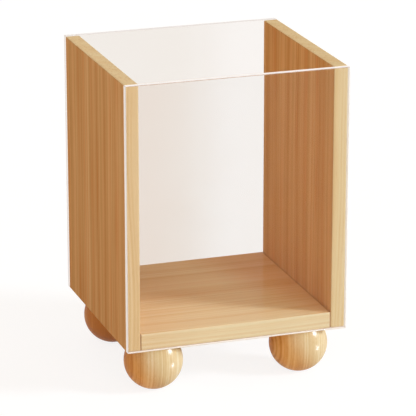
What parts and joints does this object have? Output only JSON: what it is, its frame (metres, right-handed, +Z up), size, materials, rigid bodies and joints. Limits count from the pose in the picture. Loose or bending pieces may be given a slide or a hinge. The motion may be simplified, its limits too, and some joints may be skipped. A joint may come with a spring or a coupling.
{
  "type": "cosmetic organizer",
  "caption": "Open-top desktop organizer box with wooden sides and bottom, clear acrylic front and back, on wooden ball feet.",
  "frame": {"origin": "centre of the footprint, on the surface that the four feet stand on", "axes": "+Z up, +X to the right seen from the front, +Y from the front panel to the back panel"},
  "size_m": [0.11, 0.102, 0.155],
  "materials": {
    "panel_wood": "satin clear varnish",
    "foot_wood": "gloss clear varnish",
    "dowel_wood": "plain",
    "clear_acrylic": "polished clear"
  },
  "bodies": {
    "root": {"back_acrylic_panel": "clear_acrylic", "bottom_panel": "panel_wood", "foot_back_left": "foot_wood", "foot_back_right": "foot_wood", "foot_dowel_back_left": "dowel_wood", "foot_dowel_back_right": "dowel_wood", "foot_dowel_front_left": "dowel_wood", "foot_dowel_front_right": "dowel_wood", "foot_front_left": "foot_wood", "foot_front_right": "foot_wood", "front_acrylic_panel": "clear_acrylic", "left_side_panel": "panel_wood", "right_side_panel": "panel_wood", "side_dowel_left_back": "dowel_wood", "side_dowel_left_front": "dowel_wood", "side_dowel_left_middle": "dowel_wood", "side_dowel_right_back": "dowel_wood", "side_dowel_right_front": "dowel_wood", "side_dowel_right_middle": "dowel_wood"}
  },
  "joints": []
}
